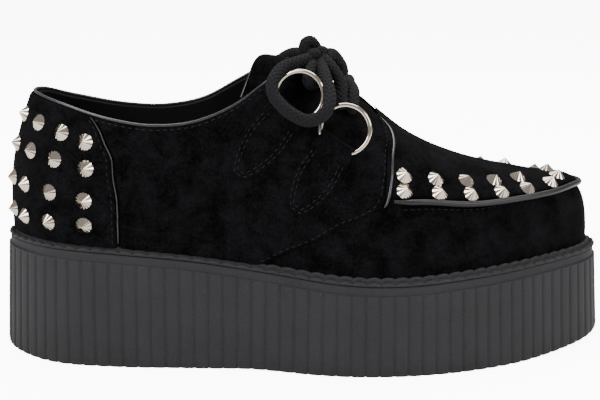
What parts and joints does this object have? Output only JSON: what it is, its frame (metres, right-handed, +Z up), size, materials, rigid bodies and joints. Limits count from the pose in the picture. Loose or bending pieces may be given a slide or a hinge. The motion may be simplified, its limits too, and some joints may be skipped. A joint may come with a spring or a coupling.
{
  "type": "creeper shoe",
  "caption": "Right platform creeper shoe with a ribbed rubber sole, studded toe apron and heel counter, ring-laced throat and piped collar.",
  "frame": {"origin": "floor level under the centre of the sole's bounding rectangle", "axes": "+X towards the toe, +Y towards the medial (inner) side of this right shoe, +Z up"},
  "size_m": [0.2778, 0.1058, 0.1437],
  "materials": {
    "moulded_rubber": "matt, vertically ribbed",
    "suede": "napped suede",
    "lining": "smooth matt lining",
    "piping": "glossy piping",
    "nickel": "polished nickel",
    "lace": "round braid"
  },
  "bodies": {
    "root": {"outsole": "moulded_rubber", "welt": "moulded_rubber", "insole": "lining", "upper": "suede", "tongue": "suede", "quarter_lateral": "suede", "quarter_medial": "suede", "heel_counter": "suede", "toe_apron": "suede", "apron_piping": "piping", "collar_piping": "piping", "edge_piping_lateral": "piping", "edge_piping_medial": "piping", "ring_tab_rear_lateral": "suede", "ring_tab_rear_medial": "suede", "ring_tab_front_lateral": "suede", "ring_tab_front_medial": "suede", "ring_rear_lateral": "nickel", "ring_rear_medial": "nickel", "ring_front_lateral": "nickel", "ring_front_medial": "nickel", "lace_bar": "lace", "lace_knot": "lace", "lace_loop_near": "lace", "lace_loop_far": "lace"}
  },
  "joints": []
}
